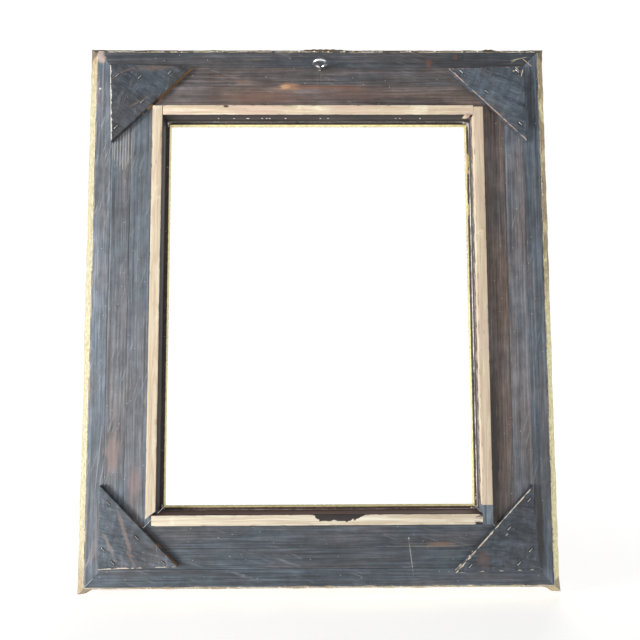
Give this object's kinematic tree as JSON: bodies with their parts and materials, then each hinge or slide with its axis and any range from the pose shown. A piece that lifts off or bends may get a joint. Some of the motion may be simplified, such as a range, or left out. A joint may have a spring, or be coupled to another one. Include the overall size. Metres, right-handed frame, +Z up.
{
  "type": "display frame",
  "caption": "Large gilt wooden display frame with a rebate for a picture, backing board or folded jersey, hung from a screw eye on its back.",
  "frame": {"origin": "centre of the ring of the screw eye, where the wall hook goes", "axes": "+X right as seen from the back, +Y from the back towards the gilt front, +Z up; names with left and right are as seen from the back"},
  "size_m": [0.962, 0.1173, 1.12],
  "materials": {
    "stained_pine": "dark brown-black brushed stain, worn to reddish brown in patches, satin to matte",
    "stained_plywood": "thin blue-black stain over plywood, worn to bare wood on the edges",
    "raw_pine": "raw sawn pine, matte, chipped edges",
    "gilt": "pale gold leaf over gesso on wood, rubbed, with specks of white gesso",
    "staple_steel": "dull galvanised wire",
    "zinc_plated_steel": "bright zinc plate"
  },
  "bodies": {
    "frame": {"bottom_centre_ornament": "gilt", "bottom_gilt_moulding": "gilt", "bottom_left_corner_ornament": "gilt", "bottom_left_gusset": "stained_plywood", "bottom_left_staple_1": "staple_steel", "bottom_left_staple_2": "staple_steel", "bottom_left_staple_3": "staple_steel", "bottom_left_staple_4": "staple_steel", "bottom_left_staple_5": "staple_steel", "bottom_rail_inner_strip": "stained_pine", "bottom_rail_middle_strip": "stained_pine", "bottom_rail_outer_strip": "stained_pine", "bottom_rebate_lath": "raw_pine", "bottom_right_corner_block": "stained_pine", "bottom_right_corner_ornament": "gilt", "bottom_right_gusset": "stained_plywood", "bottom_right_staple_1": "staple_steel", "bottom_right_staple_2": "staple_steel", "bottom_right_staple_3": "staple_steel", "bottom_right_staple_4": "staple_steel", "bottom_right_staple_5": "staple_steel", "left_centre_ornament": "gilt", "left_gilt_moulding": "gilt", "left_rail_inner_strip": "stained_pine", "left_rail_middle_strip": "stained_pine", "left_rail_outer_strip": "stained_pine", "left_rebate_lath": "raw_pine", "right_centre_ornament": "gilt", "right_gilt_moulding": "gilt", "right_rail_inner_strip": "stained_pine", "right_rail_middle_strip": "stained_pine", "right_rail_outer_strip": "stained_pine", "right_rebate_lath": "raw_pine", "top_centre_ornament": "gilt", "top_gilt_moulding": "gilt", "top_left_corner_ornament": "gilt", "top_left_gusset": "stained_plywood", "top_left_staple_1": "staple_steel", "top_left_staple_2": "staple_steel", "top_left_staple_3": "staple_steel", "top_left_staple_4": "staple_steel", "top_left_staple_5": "staple_steel", "top_rail_inner_strip": "stained_pine", "top_rail_middle_strip": "stained_pine", "top_rail_outer_strip": "stained_pine", "top_rebate_lath": "raw_pine", "top_right_corner_ornament": "gilt", "top_right_gusset": "stained_plywood", "top_right_staple_1": "staple_steel", "top_right_staple_2": "staple_steel", "top_right_staple_3": "staple_steel", "top_right_staple_4": "staple_steel"},
    "hanger": {"screw_eye": "zinc_plated_steel"}
  },
  "joints": [
    {"name": "screw_eye_turn", "type": "hinge", "parent": "frame", "child": "hanger", "pos_m": [0, 0.022, 0], "axis": [0, 1, 0], "range_deg": [-90, 90]}
  ]
}
